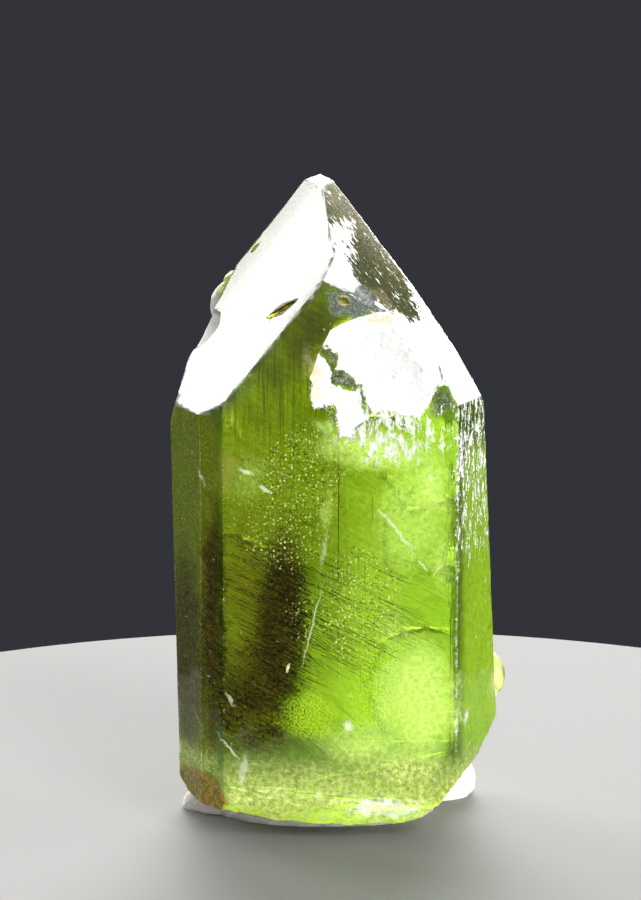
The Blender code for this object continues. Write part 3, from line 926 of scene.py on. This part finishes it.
def make_dark_needles():
    bm = bmesh.new()
    throw_rods(bm, NEEDLE_ROOMS, 5.0, 16.0, 1.6)
    return finish_inclusion("dark_needles", bm, grain_material("dark fibre", FIBRE_DARK, FIBRE_BROWN, 0.5))


dark_needles = make_dark_needles()

# %% [markdown]
# The brown cloud at the lower left is a crowd of dark flakes and short rods, thick in its middle and thin
# at its rim, with the needles' own slope. A flake is a cone of five sides that is almost flat.

# %% Brown cloud
CLOUD_ROOMS = (
    ((-2.6, 3.0, 12.2), (1.6, 2.6, 5.2), 900),
    ((-4.2, 3.2, 7.8), (2.8, 2.8, 3.4), 800),
    ((-6.5, 4.0, 11.5), (0.9, 2.8, 6.5), 420),
)
FLAKE_DARK = (0.03, 0.018, 0.004, 1.0)
FLAKE_BROWN = (0.12, 0.07, 0.015, 1.0)


def make_brown_cloud():
    bm = bmesh.new()
    for centre, radii, count in CLOUD_ROOMS:
        for _ in range(count):
            spot = place_at(throw(centre, radii))
            if dice.random() < 0.5:
                way = leaning(32.0, 12.0, 30.0)
                add_rod(bm, spot, way, dice.uniform(0.3, 1.4), dice.uniform(0.010, 0.026))
            else:
                way = Vector([dice.gauss(0.0, 1.0) for _ in range(3)]).normalized()
                add_rod(bm, spot, way, dice.uniform(0.01, 0.03), dice.uniform(0.03, 0.10), 5, 0.8)
    return finish_inclusion("brown_cloud", bm, grain_material("brown grain", FLAKE_DARK, FLAKE_BROWN, 0.6))


brown_cloud = make_brown_cloud()

# %% [markdown]
# Pale grains sparkle all through the stone: a dense swarm of round ones at the upper middle, and finer ones
# in the green to the right of it. A few pale splinters lie between them, the longest at the lower left.

# %% Pale grains and splinters
GRAIN_ROOMS = (
    ((-1.7, 1.3, 19.4), (2.4, 1.2, 3.6), 420, (0.035, 0.105)),
    ((-2.6, 1.6, 14.6), (2.8, 1.4, 3.2), 260, (0.025, 0.075)),
    ((1.4, 2.0, 13.0), (2.4, 1.8, 3.6), 420, (0.025, 0.085)),
    ((4.2, 2.4, 10.6), (2.8, 2.0, 5.6), 240, (0.022, 0.07)),
    ((-6.8, 2.6, 12.0), (1.6, 2.0, 8.0), 160, (0.022, 0.07)),
)
SPLINTER_ROOMS = (
    ((-0.4, 1.2, 14.8), (3.4, 1.0, 6.0), 90, 38.0, (0.25, 1.1), (0.012, 0.030)),
    ((1.8, 1.6, 10.0), (4.0, 1.4, 4.6), 70, 42.0, (0.3, 1.6), (0.010, 0.026)),
    ((-6.2, 2.2, 6.8), (2.2, 1.8, 4.0), 60, 48.0, (0.5, 2.4), (0.010, 0.026)),
    ((-3.0, 1.2, 9.0), (3.0, 1.0, 3.6), 40, 50.0, (0.3, 1.3), (0.012, 0.034)),
)
PALE_YELLOW = (0.80, 0.82, 0.34, 1.0)
PALE_CREAM = (0.93, 0.93, 0.72, 1.0)


def make_pale_grains():
    bm = bmesh.new()
    for centre, radii, count, sizes in GRAIN_ROOMS:
        for _ in range(count):
            spot = place_at(throw(centre, radii, 1.4))
            size = dice.uniform(*sizes) * dice.uniform(0.6, 1.0)
            if not is_inside(spot, WALL + size):
                continue
            stretch = Matrix.Diagonal((dice.uniform(0.8, 1.5), 1.0, dice.uniform(0.7, 1.1), 1.0))
            turn = Matrix.Rotation(dice.uniform(0.0, math.pi), 4, "Y")
            bmesh.ops.create_icosphere(
                bm, subdivisions=1, radius=size * MM, matrix=Matrix.Translation(spot) @ turn @ stretch)
    throw_rods(bm, SPLINTER_ROOMS, 14.0, 20.0, 1.8)
    return finish_inclusion("pale_grains", bm, grain_material("pale grain", PALE_YELLOW, PALE_CREAM, 0.3))


pale_grains = make_pale_grains()

# %% [markdown]
# A growth line runs straight down the front, from the scar to the lower third: the edge of a plane inside the
# stone, seen end on. It and two short ones beside it are made as rods.

# %% Growth lines
GROWTH_LINES = (
    ((0.32, 0.35, 16.3), 14.0, 0.022),
    ((1.75, 0.6, 14.2), 2.6, 0.016),
    ((2.15, 0.6, 18.6), 1.4, 0.016),
    ((1.55, 0.8, 9.2), 1.6, 0.016),
)
LINE_DARK = (0.03, 0.04, 0.006, 1.0)
LINE_GREEN = (0.07, 0.08, 0.012, 1.0)


def make_growth_lines():
    bm = bmesh.new()
    for spot, length, thickness in GROWTH_LINES:
        add_rod(bm, place_at(spot), Vector((-0.004, 0.0, -1.0)).normalized(), length, thickness, 4, 0.5)
    return finish_inclusion("growth_lines", bm, grain_material("dark line", LINE_DARK, LINE_GREEN, 0.5))


growth_lines = make_growth_lines()

# %% [markdown]
# Veils are cracks inside the stone that have healed or filled: thin, milky sheets. Each is a fine grid, bent
# by noise and laid at a slant, with a body that lets most light past and sometimes a bright rim. The grid's
# UV map says where on the sheet a point is, and two attributes say how strong its body and its rim are.
# Two small bright sheets, low in the middle and at the right, are painted highlights rather than cracks.

# %% Veils
# Each veil: place (across, depth, height), half sizes, fall to the right and lean back in degrees, body, rim
VEILS = {
    "right bowl": ((4.6, 1.7, 17.2), (2.0, 3.6), 14.0, 24.0, 0.16, 0.55),
    "vein": ((-1.05, 1.1, 11.9), (0.16, 3.5), 14.8, 4.0, 0.50, 0.0),
    "high wisp": ((-4.62, 0.5, 20.7), (0.55, 0.20), 34.0, 30.0, 0.75, 0.0),
    "middle wisp": ((-3.75, 0.5, 19.8), (0.42, 0.20), 30.0, 30.0, 0.75, 0.0),
    "low wisp": ((-3.3, 0.5, 19.6), (0.24, 0.16), 10.0, 20.0, 0.75, 0.0),
    "wedge left": ((-5.6, 0.8, 5.6), (1.3, 0.16), 48.0, 24.0, 0.85, 0.0),
    "wedge right": ((-4.55, 0.6, 3.6), (0.40, 1.05), -8.0, 40.0, 0.80, 0.0),
    "wedge thread": ((-4.75, 0.5, 5.9), (0.05, 0.95), 10.0, 0.0, 0.70, 0.0),
    "feather": ((-5.65, 0.6, 8.3), (0.72, 0.17), 50.0, 20.0, 0.60, 0.0),
    "bright flake": ((-2.4, 0.5, 9.9), (0.16, 0.26), -25.0, 20.0, 0.9, 0.0),
    # painted highlights: bright sheets put where light catches, low in the middle and at the right
    "low painted highlight": ((0.85, 0.7, 6.7), (0.30, 0.42), -10.0, 10.0, 0.9, 0.0),
    "right painted highlight": ((6.9, 0.6, 6.9), (0.22, 0.50), 6.0, 10.0, 0.9, 0.0),
    "upper spot": ((-5.15, 0.4, 22.7), (0.13, 0.95), -14.0, 0.0, 0.45, 0.0),
}
VEIL_CUTS = 22
VEIL_GREEN = (0.62, 0.76, 0.40, 1.0)
VEIL_WHITE = (0.92, 0.94, 0.82, 1.0)


def make_veils():
    bm = bmesh.new()
    body_mark = bm.verts.layers.float.new("body")
    rim_mark = bm.verts.layers.float.new("rim")
    bm.loops.layers.uv.new("UVMap")
    for spot, half, fall, lean, body, rim in VEILS.values():
        stand = Matrix.Rotation(math.pi / 2, 4, "X")
        shape = Matrix.Rotation(math.radians(fall), 4, "Y") @ Matrix.Rotation(math.radians(lean), 4, "X")
        size = Matrix.Diagonal((half[0] * MM, half[1] * MM, 1.0, 1.0))
        grid = bmesh.ops.create_grid(
            bm, x_segments=VEIL_CUTS, y_segments=VEIL_CUTS, size=1.0, calc_uvs=True,
            matrix=Matrix.Translation(place_at(spot)) @ shape @ stand @ size,
        )
        bend = 0.16 * min(half) + 0.05
        for vert in grid["verts"]:
            vert.co.y += bend * noise.noise(vert.co / MM * 0.7) * MM
            vert[body_mark] = body
            vert[rim_mark] = rim
    return finish_inclusion("veils", bm, veil_material())


def veil_material():
    material, start, output = new_material("milky veil")
    point = object_millimetres(start)
    uv = start.node("ShaderNodeUVMap", {"uv_map": "UVMap"})
    ragged = uv.ragged(3.0, 0.16).vector("SUBTRACT", (0.5, 0.5, 0.0))
    reach = ragged.vector("LENGTH", out="Value") * 2.0
    cloudy = point.noise(2.2, 5.0, 0.7).step(0.3, 0.75)
    rim = reach.step(0.74, 0.82) * reach.fall(0.84, 0.95) * cloudy.step(0.0, 0.7)
    body = reach.fall(0.35, 0.92) * (0.35 + cloudy)
    return dress(material, output, start.principled({
        "Base Color": cloudy.blend(VEIL_GREEN, VEIL_WHITE), "Roughness": 0.5,
        "Alpha": start.mark("body") * body + start.mark("rim") * rim,
    }))


veils = make_veils()

# %% [markdown]
# ## The putty
#
# Mounting putty is a soft white dough, pressed on by fingers. Its solid has the right lumps, so a copy is
# merged, cut finer and pushed about by broad noise, with its underside left flat. Its finish is matte, with
# faint pink and grey dirt and a fine bump of finger marks.

# %% Putty mesh and finish
SOLE = 0.12                 # millimetres above the ground below which the putty stays flat
PUTTY_WHITE = (0.88, 0.85, 0.82, 1.0)
PUTTY_DIRT = (0.66, 0.58, 0.52, 1.0)
PRINT_RELIEF = 0.1 * MM

putty_bm = merged_copy(putty_node)
putty_low, putty_high = (Vector(corner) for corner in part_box("mounting_putty"))
cut_grid(putty_bm, putty_low, putty_high, GRID)
putty_bm.normal_update()
for vert in putty_bm.verts:
    spot = vert.co / MM
    if spot.z > SOLE:
        lift = 0.06 * noise.noise(spot * 1.3) + 0.025 * noise.noise(spot * 3.6) - 0.02
        vert.co += vert.normal * lift * MM
putty = finish_mesh("putty_pad", putty_bm, math.radians(50.0))
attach(putty, "root")
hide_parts("mounting_putty")


def putty_material():
    material, start, output = new_material("white putty")
    point = object_millimetres(start)
    dirt = point.noise(1.1, 4.0)
    prints = point.noise(5.0, 3.0)
    colour = dirt.step(0.45, 0.75).blend(PUTTY_WHITE, PUTTY_DIRT)
    relief = {"Height": prints + dirt, "Strength": 0.5, "Distance": PRINT_RELIEF}
    return dress(material, output, start.principled({
        "Base Color": colour, "Roughness": 0.62 + prints * 0.2,
        "Normal": start.node("ShaderNodeBump", None, relief),
    }))


putty.data.materials.append(putty_material())
print(f"putty: {len(putty.data.polygons)} faces")

# %% [markdown]
# ## Stage, light and camera
#
# The floor is a plain pale disc. The light is soft: large bright panels, drawn in the world so that every
# facet can mirror them. Each panel is aimed by the facet that has to catch it. The camera looks from the
# front and ten degrees above, through a long lens.

# %% Floor
FLOOR_RADIUS = 40.0 * MM
FLOOR_BACK = 8.0 * MM       # how far behind the crystal the floor's centre lies
FLOOR_GREY = (0.20, 0.20, 0.20, 1.0)


def make_floor():
    bm = bmesh.new()
    middle = Matrix.Translation((0.0, FLOOR_BACK, 0.0))
    bmesh.ops.create_circle(bm, cap_ends=True, segments=160, radius=FLOOR_RADIUS, matrix=middle)
    floor = finish_mesh("floor", bm, math.radians(30.0))
    material, start, output = new_material("pale floor")
    shader = start.principled({"Base Color": FLOOR_GREY, "Roughness": 0.7})
    floor.data.materials.append(dress(material, output, shader))
    return floor


floor = make_floor()
print(f"floor: a disc {2 * FLOOR_RADIUS / MM:.0f} mm across")

# %% World with light panels
# Each panel: direction, half width and half height as tangents, brightness
BACKDROP = (0.032, 0.034, 0.042, 1.0)
RIM_START, RIM_END = 0.8, 1.15  # a panel's light falls away between these shares of its half sizes
PANELS = {
    "left facet": ((-0.669, 0.652, 0.356), 0.28, 0.22, 12.0),
    "gable": ((0.392, -0.725, 0.567), 0.17, 0.17, 14.0),
    "front key": ((0.30, -0.90, 0.34), 0.42, 0.24, 7.5),
    "back glow": ((0.02, 0.97, 0.26), 0.40, 0.24, 15.0),
    "right glow": ((0.98, -0.10, 0.10), 0.34, 0.30, 9.0),
    "overhead": ((0.0, 0.1, 1.0), 0.8, 0.6, 0.2),
}


def make_world():
    world = bpy.data.worlds.new("studio")
    bpy.context.scene.world = world
    world.use_nodes = True
    tree = world.node_tree
    tree.nodes.clear()
    start = Wire(tree)
    ray = start.node("ShaderNodeTexCoord", None, None, "Generated")
    total = None
    for aim, half_width, half_height, brightness in PANELS.values():
        centre = Vector(aim).normalized()
        side = centre.cross(Vector((0.0, 0.0, 1.0))).normalized()
        top = side.cross(centre)
        ahead = ray.vector("DOT_PRODUCT", tuple(centre), out="Value")
        beside = ray.vector("DOT_PRODUCT", tuple(side), out="Value").maths("DIVIDE", ahead).maths("ABSOLUTE")
        above = ray.vector("DOT_PRODUCT", tuple(top), out="Value").maths("DIVIDE", ahead).maths("ABSOLUTE")
        inside = (beside.fall(half_width * RIM_START, half_width * RIM_END)
                  * above.fall(half_height * RIM_START, half_height * RIM_END))
        lit = inside * ahead.step(0.0, 0.05) * brightness
        total = lit if total is None else total + lit
    panels = start.node("ShaderNodeBackground", None, {"Color": (1.0, 0.99, 0.97, 1.0), "Strength": total})
    backdrop = start.node("ShaderNodeBackground", None, {"Color": BACKDROP, "Strength": 1.0})
    both = start.node("ShaderNodeAddShader", None, {0: panels, 1: backdrop})
    output = tree.nodes.new("ShaderNodeOutputWorld")
    tree.links.new(both.socket, output.inputs["Surface"])


make_world()
print("light panels:", ", ".join(PANELS))

# %% Camera
CAMERA_RISE = math.radians(10.0)
CAMERA_DISTANCE = 239.0
CAMERA_LENS = 172.0
AIM = (-0.64, 20.48, 8.07)  # across, height and depth of the picture's middle


def make_camera():
    data = bpy.data.cameras.new("camera")
    data.lens = CAMERA_LENS
    data.clip_start = 0.01
    camera = bpy.data.objects.new("camera", data)
    back = Vector((0.0, -math.cos(CAMERA_RISE), math.sin(CAMERA_RISE)))
    camera.location = place(*AIM) + back * CAMERA_DISTANCE * MM
    camera.rotation_euler = (math.pi / 2 - CAMERA_RISE, 0.0, 0.0)
    bpy.context.scene.collection.objects.link(camera)
    bpy.context.scene.camera = camera


make_camera()
print(f"camera: {CAMERA_DISTANCE:.0f} mm away, lens {CAMERA_LENS:.0f} mm")
bpy.context.scene.view_settings.view_transform = "Standard"
